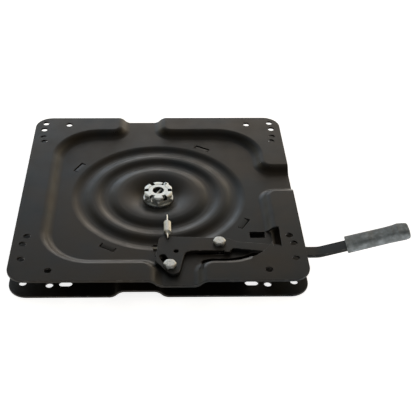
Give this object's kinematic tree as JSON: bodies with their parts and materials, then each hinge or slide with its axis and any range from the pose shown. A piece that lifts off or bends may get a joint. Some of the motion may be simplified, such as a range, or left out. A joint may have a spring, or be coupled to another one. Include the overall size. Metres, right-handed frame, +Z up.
{
  "type": "swivel seat base",
  "caption": "Square seat swivel of black pressed steel plates that turn on a centre spindle under a castle nut, with a sprung side lever and soft grip to free the lock.",
  "frame": {"origin": "on the swivel axis, in the plane that the bottom plate stands on", "axes": "+Z up along the swivel axis, +X to the side where the lever leaves, -Y to the front"},
  "size_m": [0.4504, 0.335, 0.0558],
  "materials": {
    "black_coat": "semi-gloss black coat",
    "zinc_plate": "zinc plated",
    "plain_steel": "plain steel",
    "nylon": "natural nylon",
    "grip_vinyl": "blue-grey vinyl"
  },
  "bodies": {
    "base": {"bottom_plate": "black_coat", "glide_ring": "nylon", "lock_ring": "black_coat", "pivot_spindle": "zinc_plate", "nut_washer": "zinc_plate", "castle_nut": "zinc_plate", "split_pin": "zinc_plate"},
    "turntable": {"top_plate": "black_coat", "pivot_bush": "nylon", "pivot_bolt": "zinc_plate", "guide_bolt": "zinc_plate", "pivot_washer": "zinc_plate", "guide_washer": "zinc_plate", "pivot_nut": "zinc_plate", "guide_nut": "zinc_plate", "return_spring": "zinc_plate"},
    "lever": {"release_lever": "black_coat", "lock_tooth": "plain_steel", "lever_grip": "grip_vinyl"}
  },
  "joints": [
    {"name": "swivel", "type": "hinge", "parent": "base", "child": "turntable", "pos_m": [0, 0, 0.0125], "axis": [0, 0, 1], "continuous": true},
    {"name": "lever_release", "type": "hinge", "parent": "turntable", "child": "lever", "pos_m": [0.07, -0.1, 0.0196], "axis": [0, 0, 1], "range_deg": [0, 14], "stiffness_Nm_per_rad": 4, "springref_deg": -14.32, "deforming": ["return_spring"]}
  ]
}
